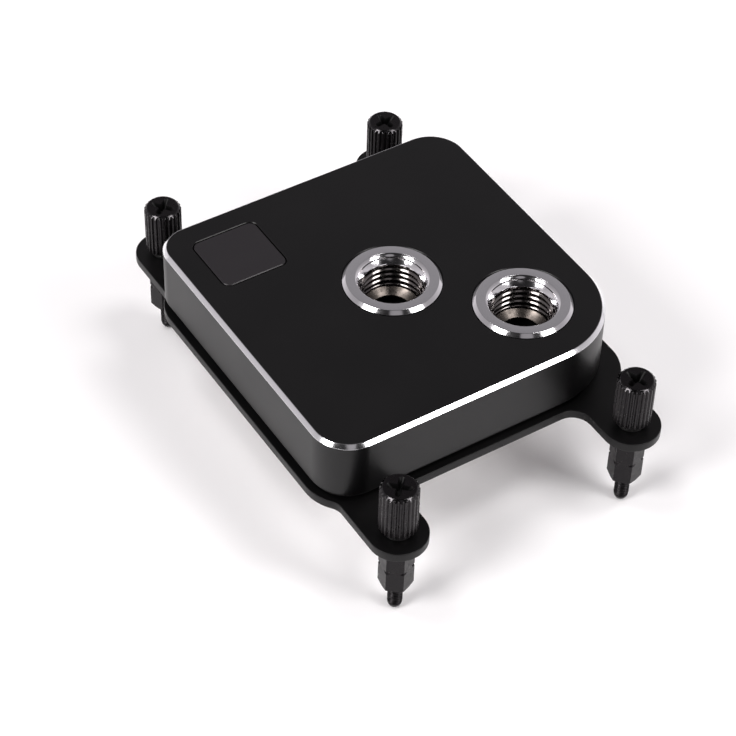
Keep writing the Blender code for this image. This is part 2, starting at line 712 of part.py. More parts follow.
def standoff_mesh():
    """Hexagonal spacer with chamfered ends, a blind thread bore above and a round-nosed stub below."""
    corner = STANDOFF_AF / math.sqrt(3)
    steps = HEX_STEPS
    c = STANDOFF_CHAMFER

    def hexagon(limit):
        """Hexagon outline of many points, cut back to a circle of radius limit."""
        points = []
        for k in range(steps):
            a = 2 * math.pi * k / steps
            within = math.fmod(a, math.pi / 3) - math.pi / 6
            r = min(corner * math.cos(math.pi / 6) / math.cos(within), limit)
            points.append((r * math.cos(a), r * math.sin(a)))
        return points

    flat_r = STANDOFF_AF / 2
    nose = [(circle(STUB_R, steps), Z_HEX_BOTTOM)]
    full = math.sin(math.radians(STUB_NOSE_DEG[-1]))
    for deg in STUB_NOSE_DEG:
        a = math.radians(deg)
        nose.append((circle(STUB_R * math.cos(a), steps), Z_STUB_TIP + STUB_R * (1 - math.sin(a) / full)))
    sections = [
        (hexagon(flat_r), Z_STANDOFF_TOP),
        (hexagon(corner), Z_STANDOFF_TOP - c),
        (hexagon(corner), Z_HEX_BOTTOM + c),
        (hexagon(flat_r), Z_HEX_BOTTOM),
    ] + nose
    mesh = loft("standoff", list(reversed(sections)))
    bore = lofts("bore", [rod_sections(
        STANDOFF_BORE_R, Z_STANDOFF_BORE, Z_STANDOFF_TOP + OVERCUT, CAP_FACETS_INSIDE)])
    mesh = combined(mesh, bore)
    mesh.name = "standoff"
    return mesh


def make_stations(black, steel, brass_nickel):
    """Thumb screw, washers, spring and standoff at each tab, on one vertical axis."""
    screw = thumb_screw_mesh()
    spring = spring_curve()
    standoff = standoff_mesh()
    washer = turned("seat_washer", ring_profile(
        WASHER_HOLE_R, WASHER_R, Z_SEAT_WASHER, Z_SEAT_WASHER + WASHER_T), WASHER_FACETS, closed=True)
    slip = turned("slip_washer", ring_profile(
        WASHER_HOLE_R, WASHER_R, Z_SLIP_WASHER, Z_SLIP_WASHER + SLIP_WASHER_T), WASHER_FACETS, closed=True)
    for name, sx, sy, standoff_turn, screw_turn in STATIONS:
        axis = place("axis_" + name, None, None)
        axis.location = (sx * HOLE_PITCH_X / 2, sy * HOLE_PITCH_Y / 2, 0.0)
        for kind, mesh, turn in (("thumb_screw_", screw, screw_turn), ("standoff_", standoff, standoff_turn)):
            obj = place(kind + name, mesh, black, axis)
            obj.rotation_euler.z = math.radians(turn)
            smooth(obj)
        smooth(place("seat_washer_" + name, washer, brass_nickel, axis))
        smooth(place("slip_washer_" + name, slip, brass_nickel, axis))
        place("spring_" + name, spring, steel, axis)


def main():
    """Clear the scene and build every piece."""
    for obj in list(bpy.data.objects):
        bpy.data.objects.remove(obj)
    anodised = material("anodised_black", (0.014, 0.014, 0.016), 0.5, 0.2)
    badge = material("badge_grey", (0.03, 0.028, 0.03), 0.35, 0.5)
    nickel = material("nickel_plate", (0.62, 0.62, 0.63), 0.12, 1.0)
    rubber = material("seal_rubber", (0.012, 0.012, 0.012), 0.7, 0.0)
    plastic = material("body_plastic", (0.015, 0.015, 0.015), 0.45, 0.0)
    steel = material("spring_steel", (0.5, 0.5, 0.5), 0.25, 1.0)
    plated_copper = material("plated_copper", (0.6, 0.6, 0.6), 0.15, 1.0)
    coated_steel = material("coated_steel", (0.012, 0.012, 0.013), 0.4, 0.3)
    black_metal = material("black_hardware", (0.01, 0.01, 0.011), 0.35, 0.6)
    make_cover(anodised)
    make_badge(badge)
    make_port("inlet", 0.0, 0.0, nickel, rubber)
    make_port("outlet", OUTLET_X, OUTLET_Y, nickel, rubber)
    make_flow_body(plastic)
    make_jet_plate(steel)
    make_main_seal(rubber)
    make_cold_plate(plated_copper)
    make_cold_plate_screws(steel)
    make_bracket(coated_steel)
    make_stations(black_metal, steel, nickel)


main()
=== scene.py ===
"""Dressed scene of the cpu water block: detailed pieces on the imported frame, studio light and camera."""

import math

import bmesh
import bpy
from mathutils import Matrix, Vector


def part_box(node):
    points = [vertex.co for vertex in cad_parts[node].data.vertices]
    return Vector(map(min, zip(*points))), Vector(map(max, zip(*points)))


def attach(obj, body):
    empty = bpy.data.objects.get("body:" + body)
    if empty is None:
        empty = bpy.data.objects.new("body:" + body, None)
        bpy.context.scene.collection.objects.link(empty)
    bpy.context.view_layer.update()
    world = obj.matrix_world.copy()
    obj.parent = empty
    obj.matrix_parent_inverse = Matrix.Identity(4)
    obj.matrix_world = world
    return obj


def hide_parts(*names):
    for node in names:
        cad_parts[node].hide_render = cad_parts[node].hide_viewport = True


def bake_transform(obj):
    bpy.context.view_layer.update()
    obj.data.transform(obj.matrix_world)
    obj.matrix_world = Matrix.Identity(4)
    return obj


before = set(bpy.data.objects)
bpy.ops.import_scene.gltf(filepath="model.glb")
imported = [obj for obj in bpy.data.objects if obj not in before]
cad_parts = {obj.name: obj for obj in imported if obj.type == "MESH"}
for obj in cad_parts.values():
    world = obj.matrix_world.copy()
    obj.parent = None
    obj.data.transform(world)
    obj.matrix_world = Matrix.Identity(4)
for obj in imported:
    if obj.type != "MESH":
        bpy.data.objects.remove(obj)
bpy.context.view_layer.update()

MM = 0.001


def centre(node):
    """Middle of a node's box, seen from above."""
    low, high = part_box(node)
    return (low.x + high.x) / 2, (low.y + high.y) / 2


def half_width(node):
    """Half the width of a node's box, or a turned piece's radius."""
    low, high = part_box(node)
    return (high.x - low.x) / 2


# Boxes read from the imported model, as low and high corners
COVER_LOW, COVER_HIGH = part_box("cover")
BODY_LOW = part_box("flow_body")[0]
BRACKET_LOW, BRACKET_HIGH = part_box("bracket")
COLD_LOW, COLD_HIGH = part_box("cold_plate")
BADGE_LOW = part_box("badge_plate")[0]
SCREW_LOW, SCREW_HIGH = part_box("thumb_screw_front_left")
SPACER_LOW, SPACER_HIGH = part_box("standoff_front_left")
SEAT_LOW, SEAT_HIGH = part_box("seat_washer_front_left")
SLIP_LOW, SLIP_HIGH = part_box("slip_washer_front_left")

# Driving levels, and how far a cutter runs past the face that it cuts
Z_TOP = COVER_HIGH.z
Z_FOOT = COVER_LOW.z
HALF = COVER_HIGH.x
PAST = 2.0 * MM

# Cover: corner radii back right, back left, front left, front right, then walls, edges and seats
COVER_RADII = (8.0 * MM, 6.5 * MM, 8.0 * MM, 17.0 * MM)
COVER_WALL, COVER_ROOF = 2.5 * MM, 3.0 * MM
CHAMFER, CHAMFER_EDGE = 0.7 * MM, 0.07 * MM
FOOT_EDGE = 0.2 * MM
SEAT_DEPTH = 1.1 * MM
COVER_BORE = 8.5 * MM

# Badge plate, in a seat that leaves a groove round it
BADGE_HALF = half_width("badge_plate")
BADGE_RADIUS, BADGE_CHAMFER, BADGE_FOOT = 1.6 * MM, 0.14 * MM, 0.1 * MM
BADGE_GAP, BADGE_FLARE = 0.25 * MM, 0.13 * MM

# Port inserts: the pipe thread starts below the top in a cone of its own and fades out above the bottom
PORTS = {"inlet_threaded_insert": "inlet_port_insert", "outlet_threaded_insert": "outlet_port_insert"}
PORT_POINTS, PORT_ROWS = 112, 112
PORT_BODY, PORT_THROAT, PORT_FOOT = 8.22 * MM, 4.0 * MM, 0.2 * MM
PORT_GAP, PORT_FLARE = 0.16 * MM, 0.15 * MM
COLLAR_SINK = 0.8 * MM
CREST, PIPE_DEPTH, PIPE_PITCH = 5.72 * MM, 0.72 * MM, 1.337 * MM
PIPE_START, PIPE_END, PIPE_FADE = 2.0 * MM, 1.35 * MM, 0.7 * MM
PIPE_MOUTH, PIPE_SLOPE = 5.88 * MM, 0.5

# Flow body: inset from the cover's outline below its foot and inside it, then its hollows
LIP_INSET, LIP_GAP, LIP_EDGE = 0.7 * MM, 0.12 * MM, 0.25 * MM
BLOCK_INSET, BLOCK_TOP = 2.65 * MM, Z_TOP - 3.2 * MM
BODY_BORE, BODY_BORE_FLOOR = 8.4 * MM, 9.5 * MM
CHAMBER_HALF, CHAMBER_RADIUS, CHAMBER_TOP = 20.0 * MM, 4.0 * MM, 7.2 * MM
POCKET_X, POCKET_Y, POCKET_RADIUS, POCKET_TOP = 14.7 * MM, 15.2 * MM, 1.3 * MM, 8.1 * MM
HOLLOW_LOW, DUCT_LOW, DUCT_TOP = 2.0 * MM, 3.0 * MM, 9.9 * MM
DUCTS = ((4.5 * MM, 0.0), (3.4 * MM, 16.63 * MM))

# Mounting frame: hole pattern, tabs and their fillets, opening and holes
PATTERN_X, PATTERN_Y = 27.0 * MM, 45.0 * MM
FRAME_CORNER, TAB, TAB_FILLET, INNER_FILLET = 9.5 * MM, 6.0 * MM, 3.5 * MM, 4.0 * MM
OPENING_HALF, OPENING_RADIUS, FRAME_HOLE = 31.0 * MM, 5.0 * MM, 2.3 * MM
FRAME_FLARE = 0.15 * MM

# Cold plate: flange, boss, fins and countersunk screws
FLANGE_RADIUS, FLANGE_TOP = 8.5 * MM, 2.7 * MM
BOSS_HALF, BOSS_RADIUS, BOSS_TOP = 30.7 * MM, 4.7 * MM, 5.0 * MM
FINS, FIN_PITCH, FIN_HALF, FIN_REACH, FIN_HEIGHT = 26, 1.02 * MM, 0.25 * MM, 14.0 * MM, 2.0 * MM
BASE_SCREWS = [f"cold_plate_screw_{k}" for k in range(1, 9)]

# Stations, with the angles in degrees that each spacer and screw is turned by
STATIONS = {
    "front_left": (22.7, 46.0),
    "front_right": (14.0, 16.5),
    "back_left": (44.7, 37.5),
    "back_right": (30.0, 7.5),
}

# Knurled cap: outside, then the bell inside it with its roof below the top, mouth and foot
CAP_RADIUS, CAP_HEIGHT, CAP_CONE, CAP_FACE = 3.8 * MM, 10.6 * MM, 0.62 * MM, 3.12 * MM
BELL, BELL_ROOF, BELL_MOUTH, CAP_FOOT = 3.05 * MM, 2.4 * MM, 3.12 * MM, 3.55 * MM
FLUTES, FLUTE_POINTS, FLUTE_DEPTH = 24, 8, 0.36 * MM
CROSS_HALF, CROSS_ARM, CROSS_DEPTH = 2.6 * MM, 0.6 * MM, 1.7 * MM

# Shank: thread, its start below the cap's top, and its tip's taper, along and across
SHANK, SHANK_DEPTH, SHANK_PITCH = 1.75 * MM, 0.34 * MM, 0.7 * MM
SHANK_POINTS, SHANK_ROWS = 28, 120
SHANK_START, TAPER_LONG, TAPER_DEEP = 2.2 * MM, 0.5 * MM, 0.45 * MM

# Hexagonal spacer: across its flats, its marking groove, then its tapped hole, with levels below its top
SPACER_HALF, SPACER_HEIGHT, SPACER_EDGE, SPACER_POINTS = 3.0 * MM, 12.1 * MM, 0.32 * MM, 72
GROOVE, GROOVE_HIGH, GROOVE_LOW, GROOVE_SLOPE = 3.12 * MM, -3.72 * MM, -4.4 * MM, 0.14 * MM
BORE, BORE_DEPTH, BORE_MOUTH, BORE_FLOOR = 1.82 * MM, 0.22 * MM, 2.3 * MM, 1.9 * MM
BORE_ROWS, BORE_START, BORE_END, BORE_LONG = 60, 0.4 * MM, 7.0 * MM, 7.2 * MM

# Stub: thread from below the spacer's foot to above the tip, the neck over it, and its round nose
STUB, STUB_DEPTH, STUB_PITCH, STUB_ROWS = 1.5 * MM, 0.2 * MM, 0.5 * MM, 54
STUB_START, STUB_END, STUB_NOSE = 0.75 * MM, 1.7 * MM, 1.46 * MM
NECK_TOP, NECK, NECK_LONG = 1.38 * MM, 1.3 * MM, 0.6 * MM

# Washers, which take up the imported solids' clearance, and the spring between them
WASHER_IN, WASHER_OUT, WASHER_EDGE, WASHER_FILL = 2.05 * MM, 2.75 * MM, 0.08 * MM, 0.2 * MM
SPRING_GAP = 0.02 * MM


# Outlines, in metres, counter-clockwise

def arc(cx, cy, r, start, end, n):
    """Arc points between two angles in degrees, ends included."""
    angles = [math.radians(start + (end - start) * k / n) for k in range(n + 1)]
    return [(cx + r * math.cos(a), cy + r * math.sin(a)) for a in angles]


def rounded(half_x, half_y, radii, n=16, cx=0.0, cy=0.0):
    """Rounded rectangle; radii is one, or four that run back right, back left, front left, front right."""
    corners = radii if isinstance(radii, (list, tuple)) else (radii,) * 4
    out = []
    for k, (sx, sy) in enumerate(((1, 1), (-1, 1), (-1, -1), (1, -1))):
        r = corners[k]
        out += arc(cx + sx * (half_x - r), cy + sy * (half_y - r), r, 90 * k, 90 * k + 90, n)
    return out


def circle(r, n, cx=0.0, cy=0.0):
    """Circle of n points."""
    angles = [2 * math.pi * k / n for k in range(n)]
    return [(cx + r * math.cos(a), cy + r * math.sin(a)) for a in angles]


def inset(points, d):
    """The outline moved inwards by d."""
    sharpest = 0.3
    out = []
    for k, (bx, by) in enumerate(points):
        ax, ay = points[k - 1]
        cx, cy = points[(k + 1) % len(points)]
        before = Vector((ay - by, bx - ax)).normalized()
        after = Vector((by - cy, cx - bx)).normalized()
        mean = (before + after).normalized()
        reach = d / max(mean.dot(before), sharpest)
        out.append((bx + mean.x * reach, by + mean.y * reach))
    return out


def cover_outline(d, n=20):
    """The cover's outline moved inwards by d."""
    return rounded(HALF - d, HALF - d, [r - d for r in COVER_RADII], n)


# Mesh building

def at(points, z):
    """Plane outline lifted to z."""
    return [(x, y, z) for x, y in points]


def turned_rings(profile, n, cx=0.0, cy=0.0):
    """Rings of a turned profile of (radius, z)."""
    return [at(circle(r, n, cx, cy), z) for r, z in profile]


def skin(bm, rings, caps=(0, 0), bands=None, closed=False):
    """Quads between rings of equal point count, with end faces unless the last ring joins the first.

    caps are the material indices of the two end faces, bands those of the strips between rings.
    """
    rows = [[bm.verts.new(p) for p in ring] for ring in rings]
    pairs = list(zip(rows, rows[1:]))
    if closed:
        pairs.append((rows[-1], rows[0]))
    for (low, high), band in zip(pairs, bands or [0] * len(pairs)):
        for k in range(len(low)):
            n = (k + 1) % len(low)
            bm.faces.new((low[k], low[n], high[n], high[k])).material_index = band
    if not closed:
        bm.faces.new(list(reversed(rows[0]))).material_index = caps[0]
        bm.faces.new(rows[-1]).material_index = caps[1]


def new_mesh(name, bm):
    """Mesh from a bmesh, its faces pointing out."""
    bmesh.ops.recalc_face_normals(bm, faces=bm.faces)
    mesh = bpy.data.meshes.new(name)
    bm.to_mesh(mesh)
    bm.free()
    return mesh


def solid(name, rings, **shape):
    """Mesh of one skin."""
    bm = bmesh.new()
    skin(bm, rings, **shape)
    return new_mesh(name, bm)


def prism(name, outline, low, high):
    """Upright solid of an outline between two levels."""
    return solid(name, [at(outline, low), at(outline, high)])


def turned(name, profile, n, cx=0.0, cy=0.0):
    """Solid turned from a profile of (radius, z)."""
    return solid(name, turned_rings(profile, n, cx, cy))


def cut(mesh, tools):
    """The mesh with tool meshes cut away, one exact Boolean for each."""
    target = bpy.data.objects.new("cut_target", mesh)
    bpy.context.scene.collection.objects.link(target)
    helpers = []
    for tool_mesh in tools:
        tool = bpy.data.objects.new("cut_tool", tool_mesh)
        bpy.context.scene.collection.objects.link(tool)
        step = target.modifiers.new("cut", "BOOLEAN")
        step.operation = "DIFFERENCE"
        step.solver = "EXACT"
        step.object = tool
        helpers.append(tool)
    bpy.context.view_layer.update()
    graph = bpy.context.evaluated_depsgraph_get()
    result = bpy.data.meshes.new_from_object(target.evaluated_get(graph))
    for obj in helpers + [target]:
        bpy.data.objects.remove(obj)
    return result


# Share of the depth along one pitch of a thread, from a broken crest to the root and back
THREAD = ((0.0, 0.0), (0.06, 0.0), (0.27, 0.40), (0.43, 1.0), (0.54, 1.0), (0.94, 0.0), (1.0, 0.0))


def thread_form(u):
    """Depth share of a thread at phase u, from the points of THREAD."""
    u = u % 1.0
    for (u0, d0), (u1, d1) in zip(THREAD, THREAD[1:]):
        if u <= u1:
            return d0 + (d1 - d0) * (u - u0) / (u1 - u0)
    return 0.0


def thread_rings(n, rows, start, end, pitch, hand, radius_at):
    """Rings of a thread between two levels, radius_at giving the radius at a level and a depth share."""
    rings = []
    for k in range(rows + 1):
        z = start + (end - start) * k / rows
        ring = []
        for i in range(n):
            a = 2 * math.pi * i / n
            r = radius_at(z, thread_form((z + hand * pitch * a / (2 * math.pi)) / pitch))
            ring.append((r * math.cos(a), r * math.sin(a), z))
        rings.append(ring)
    return rings


def piece(name, mesh, materials, body, nodes, location=(0, 0, 0), turn=0.0, angle=32, stretch=None):
    """Put a piece in the scene, shade it, and hang it on its body.

    stretch, when given, instead bakes the piece's placement into its mesh and leaves it on no body; the
    second body and two points that it holds are not read.
    """
    obj = bpy.data.objects.new(name, mesh)
    bpy.context.scene.collection.objects.link(obj)
    obj.location = location
    obj.rotation_euler.z = math.radians(turn)
    slots = mesh.materials
    for k, mat in enumerate(materials):
        if k < len(slots):
            slots[k] = mat
        else:
            slots.append(mat)
    mesh.shade_smooth()
    mesh.set_sharp_from_angle(angle=math.radians(angle))
    weigh = obj.modifiers.new("normals", "WEIGHTED_NORMAL")
    weigh.keep_sharp = True
    weigh.weight = 100
    if stretch:
        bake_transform(obj)
    else:
        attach(obj, body)
    for node in nodes:
        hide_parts(node)


# Materials

def add_node(tree, kind, inputs=None, **settings):
    """A node with its settings, then its inputs: each a value, or the output that it is linked to."""
    made = tree.nodes.new(kind)
    for name, value in settings.items():
        setattr(made, name, value)
    for name, value in (inputs or {}).items():
        if isinstance(value, bpy.types.NodeSocket):
            tree.links.new(value, made.inputs[name])
        else:
            made.inputs[name].default_value = value
    return made


def finish(name, colour, roughness, metallic, specular=0.5, colour_b=None, mottle=220.0, rough_swing=0.05,
           grain=6000.0, grain_depth=0.004, stretch=(1.0, 1.0, 1.0), rings=None):
    """Principled material with mottled colour, uneven roughness and a fine grain in the normal.

    mottle and grain are in waves per metre, grain_depth in millimetres. rings adds turning marks about the
    object's Z axis, as waves per metre and a depth in millimetres.
    """
    mat = bpy.data.materials.new(name)
    mat.use_nodes = True
    mat.diffuse_color = (*colour, 1.0)
    tree = mat.node_tree
    shader = tree.nodes["Principled BSDF"]
    shader.inputs["Metallic"].default_value = metallic
    shader.inputs["Specular IOR Level"].default_value = specular
    place = add_node(tree, "ShaderNodeTexCoord").outputs["Object"]
    blotches = add_node(tree, "ShaderNodeTexNoise", {"Vector": place, "Scale": mottle, "Detail": 4.0})
    patches = blotches.outputs["Fac"]
    uneven = add_node(tree, "ShaderNodeMapRange", {
        "Value": patches, "From Min": 0.3, "From Max": 0.7,
        "To Min": roughness - rough_swing, "To Max": roughness + rough_swing})
    tree.links.new(uneven.outputs["Result"], shader.inputs["Roughness"])

    second = colour_b or [c * 0.8 for c in colour]
    mix = add_node(tree, "ShaderNodeMix", {"Factor": patches, "A": (*colour, 1.0), "B": (*second, 1.0)},
                   data_type="RGBA")
    tree.links.new(mix.outputs["Result"], shader.inputs["Base Color"])

    spread = add_node(tree, "ShaderNodeMapping", {"Vector": place, "Scale": stretch}).outputs["Vector"]
    fine = add_node(tree, "ShaderNodeTexNoise", {"Vector": spread, "Scale": grain, "Detail": 3.0})
    bump = add_node(tree, "ShaderNodeBump", {
        "Height": fine.outputs["Fac"], "Strength": 1.0, "Distance": grain_depth * MM})
    if rings:
        waves, depth = rings
        flat = add_node(tree, "ShaderNodeVectorMath", {0: place, 1: (1.0, 1.0, 0.0)}, operation="MULTIPLY")
        radius = add_node(tree, "ShaderNodeVectorMath", {0: flat.outputs["Vector"]}, operation="LENGTH")
        lines = add_node(tree, "ShaderNodeTexNoise", {
            "W": radius.outputs["Value"], "Scale": waves, "Detail": 4.0}, noise_dimensions="1D")
        bump = add_node(tree, "ShaderNodeBump", {
            "Height": lines.outputs["Fac"], "Normal": bump.outputs["Normal"],
            "Strength": 1.0, "Distance": depth * MM})
    tree.links.new(bump.outputs["Normal"], shader.inputs["Normal"])
    return mat


ANODISED = finish(
    "anodised_black", (0.0018, 0.0018, 0.0021), 0.33, 0.0, specular=0.28, colour_b=(0.0025, 0.0022, 0.0025),
    mottle=60.0, rough_swing=0.03, grain=9000.0, grain_depth=0.0014)
BARE_EDGE = finish(
    "bare_cut_edge", (0.90, 0.90, 0.92), 0.14, 1.0, colour_b=(0.84, 0.84, 0.86),
    mottle=400.0, rough_swing=0.04, grain=2500.0, grain_depth=0.0006)
BADGE = finish(
    "badge_grey", (0.016, 0.0135, 0.016), 0.40, 0.25, colour_b=(0.012, 0.010, 0.012),
    mottle=120.0, grain=14000.0, grain_depth=0.0012, stretch=(0.08, 1.0, 1.0))
NICKEL = finish(
    "nickel_plate", (0.74, 0.73, 0.75), 0.12, 1.0, colour_b=(0.68, 0.67, 0.69),
    mottle=500.0, rough_swing=0.03, grain=3000.0, grain_depth=0.0004, rings=(9000.0, 0.0012))
NICKEL_FACE = finish(
    "nickel_turned_face", (0.72, 0.715, 0.74), 0.22, 1.0, colour_b=(0.66, 0.655, 0.68),
    mottle=500.0, rough_swing=0.03, grain=3000.0, grain_depth=0.0004, rings=(7000.0, 0.003))
# Painted shade: the thread is a much darker copy of the nickel, standing in for the shade inside the port's
# bore.
THREAD_PAINTED_SHADE = finish(
    "nickel_thread_painted_shade", (0.24, 0.225, 0.22), 0.13, 1.0, colour_b=(0.17, 0.155, 0.15),
    mottle=900.0, rough_swing=0.04, grain=3000.0, grain_depth=0.0006)
# Painted shade: the drilled floor at the bottom of the bore is darker still. Its rougher finish is real, but
# its dark colour stands in for shade.
DRILLED_PAINTED_SHADE = finish(
    "nickel_drilled_painted_shade", (0.12, 0.105, 0.095), 0.27, 1.0, colour_b=(0.05, 0.043, 0.039),
    mottle=700.0, rough_swing=0.08, grain=1500.0, grain_depth=0.006)
RUBBER = finish("seal_rubber", (0.012, 0.012, 0.012), 0.62, 0.0, grain=4000.0, grain_depth=0.006)
PLASTIC = finish(
    "body_plastic", (0.010, 0.010, 0.010), 0.48, 0.0, specular=0.4, grain=3500.0, grain_depth=0.006)
COATED = finish(
    "bracket_coating", (0.0018, 0.0017, 0.0019), 0.36, 0.0, specular=0.22, colour_b=(0.0025, 0.0023, 0.0025),
    mottle=90.0, rough_swing=0.05, grain=3000.0, grain_depth=0.004)
STEEL = finish("bright_steel", (0.55, 0.55, 0.55), 0.24, 1.0, mottle=500.0, grain=4000.0, grain_depth=0.002)
COLD = finish(
    "plated_cold_plate", (0.66, 0.65, 0.63), 0.20, 1.0, colour_b=(0.60, 0.59, 0.57),
    mottle=90.0, rough_swing=0.04, grain=3000.0, grain_depth=0.0006)
LAPPED = finish(
    "lapped_contact_face", (0.68, 0.67, 0.65), 0.16, 1.0, colour_b=(0.62, 0.61, 0.59),
    mottle=60.0, rough_swing=0.04, grain=16000.0, grain_depth=0.0014, stretch=(0.05, 1.0, 1.0))
HARDWARE = finish(
    "black_hardware", (0.024, 0.0215, 0.0232), 0.30, 0.72, colour_b=(0.016, 0.0143, 0.0154),
    mottle=600.0, rough_swing=0.07, grain=5000.0, grain_depth=0.003)
HARDWARE_CUT = finish(
    "black_hardware_turned", (0.050, 0.048, 0.050), 0.17, 1.0, colour_b=(0.034, 0.032, 0.034),
    mottle=700.0, rough_swing=0.04, grain=5000.0, grain_depth=0.0012, rings=(6000.0, 0.002))
HARDWARE_TOP = finish(
    "black_hardware_face", (0.034, 0.031, 0.033), 0.26, 1.0, colour_b=(0.022, 0.020, 0.022),
    mottle=700.0, rough_swing=0.05, grain=5000.0, grain_depth=0.0015, rings=(6000.0, 0.003))
# Painted shade: a near-black copy of the black hardware for the walls of the cross recess, standing in for
# the shade inside it.
RECESS_PAINTED_SHADE = finish(
    "black_hardware_recess_painted_shade", (0.0045, 0.0042, 0.0045), 0.42, 0.3, specular=0.2,
    mottle=700.0, rough_swing=0.05, grain=5000.0, grain_depth=0.003)
SPACER = finish(
    "spacer_black", (0.0130, 0.0114, 0.0127), 0.30, 0.72, specular=0.38, colour_b=(0.0088, 0.0078, 0.0086),
    mottle=600.0, rough_swing=0.06, grain=5000.0, grain_depth=0.003)
NYLON = finish("washer_nylon", (0.014, 0.014, 0.014), 0.45, 0.0, grain=3000.0, grain_depth=0.003)


# Pieces of the block

def flared(make, floor, flare):
    """Rings of a seat's cutter from floor up through the cover's face, where it widens by twice the flare.

    make gives the seat's outline, widened by what it is passed.
    """
    clear, wide = make(0.0), make(2 * flare)
    return [at(clear, floor), at(clear, Z_TOP - flare), at(wide, Z_TOP + flare), at(wide, Z_TOP + PAST)]


def build_cover():
    """Housing with a bare cut chamfer, softened edges, flared port holes and badge seat."""
    edge = Z_TOP - CHAMFER
    blunt = CHAMFER_EDGE * 0.3
    steps = [(0.9 * FOOT_EDGE, Z_FOOT), (0.25 * FOOT_EDGE, Z_FOOT + 0.3 * FOOT_EDGE),
             (0.0, Z_FOOT + FOOT_EDGE), (0.0, edge - CHAMFER_EDGE), (blunt, edge),
             (CHAMFER - blunt, Z_TOP - blunt), (CHAMFER + CHAMFER_EDGE, Z_TOP)]
    body = solid("cover_outer", [at(cover_outline(d), z) for d, z in steps], bands=[0, 0, 0, 1, 1, 1])
    ceiling = Z_TOP - COVER_ROOF
    floor = Z_TOP - SEAT_DEPTH
    tools = [prism("cover_hollow", cover_outline(COVER_WALL), Z_FOOT - PAST, ceiling)]
    for node in PORTS.values():
        cx, cy = centre(node)
        r = half_width(node) + PORT_GAP
        bore = turned_rings([(COVER_BORE, ceiling - PAST), (COVER_BORE, floor)], PORT_POINTS, cx, cy)
        seat = flared(lambda g: circle(r + g, PORT_POINTS, cx, cy), floor, PORT_FLARE)
        tools.append(solid("port_hole", bore + seat))
    cx, cy = centre("badge_plate")
    half, r = BADGE_HALF + BADGE_GAP, BADGE_RADIUS + BADGE_GAP
    seat = flared(lambda g: rounded(half + g, half + g, r + g, 10, cx, cy), floor, BADGE_FLARE)
    tools.append(solid("badge_seat", seat))
    piece("cover_shell", cut(body, tools), [ANODISED, BARE_EDGE], "block", ["cover"])


def build_badge():
    """Inlaid plate with a fine chamfer."""
    steps = [(BADGE_FOOT, BADGE_LOW.z), (0.0, BADGE_LOW.z + BADGE_FOOT),
             (0.0, Z_TOP - BADGE_CHAMFER), (BADGE_CHAMFER, Z_TOP)]
    rings = [at(rounded(BADGE_HALF - d, BADGE_HALF - d, BADGE_RADIUS - d, 10), z) for d, z in steps]
    cx, cy = centre("badge_plate")
    piece("badge_inlay", solid("badge", rings), [BADGE], "block", ["badge_plate"], (cx, cy, 0.0))


def build_port(name, node):
    """Insert with a turned collar, two mouth cones, cut pipe thread and a drilled floor."""
    low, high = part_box(node)
    cx, cy = centre(node)
    rim, top, bottom = half_width(node), high.z, low.z
    collar = Z_TOP - COLLAR_SINK
    # In millimetres: the rim's chamfer inwards from the rim, the cones as radii, both down from the top
    chamfer = [(0.0, 0.72), (0.03, 0.68), (0.66, 0.04), (0.74, 0.0)]
    cones = [(7.38, 0.0), (7.32, 0.03), (6.78, 0.57), (6.74, 0.64), (6.74, 0.9), (6.70, 0.96), (5.98, 1.68),
             (5.9, 1.86)]
    head = [(PORT_BODY, bottom + PORT_FOOT), (PORT_BODY, collar), (rim, collar)]
    head += [(rim - d * MM, top - h * MM) for d, h in chamfer]
    face = len(head) - 1
    head += [(r * MM, top - h * MM) for r, h in cones]
    bands = [0] * (len(head) - 1)
    bands[face] = 1
    start, end = top - PIPE_START, bottom + PIPE_END

    def radius(z, share):
        """Thread that opens in a cone at its start and fades out at its end."""
        fade = min(1.0, (z - end) / PIPE_FADE)
        opening = max(CREST, PIPE_MOUTH - (start - z) * PIPE_SLOPE)
        return max(CREST + PIPE_DEPTH * share * fade, opening)

    thread = thread_rings(PORT_POINTS, PORT_ROWS, start, end, PIPE_PITCH, 1, radius)
    bands += [2] * len(thread)
    tail = [(CREST + 0.1 * MM, end - 0.12 * MM), (PORT_THROAT + 0.05 * MM, bottom + 0.36 * MM),
            (PORT_THROAT, bottom + 0.28 * MM), (PORT_THROAT, bottom), (PORT_BODY - PORT_FOOT, bottom)]
    bands += [3, 3, 3, 3, 0, 0]
    rings = turned_rings(head, PORT_POINTS) + thread + turned_rings(tail, PORT_POINTS)
    # The thread and the drilled floor take darker nickel, painted shade for the inside of the bore.
    piece(name, solid(name, rings, bands=bands, closed=True), [NICKEL, NICKEL_FACE, THREAD_PAINTED_SHADE, DRILLED_PAINTED_SHADE],
          "block", [node], (cx, cy, 0.0), angle=38)


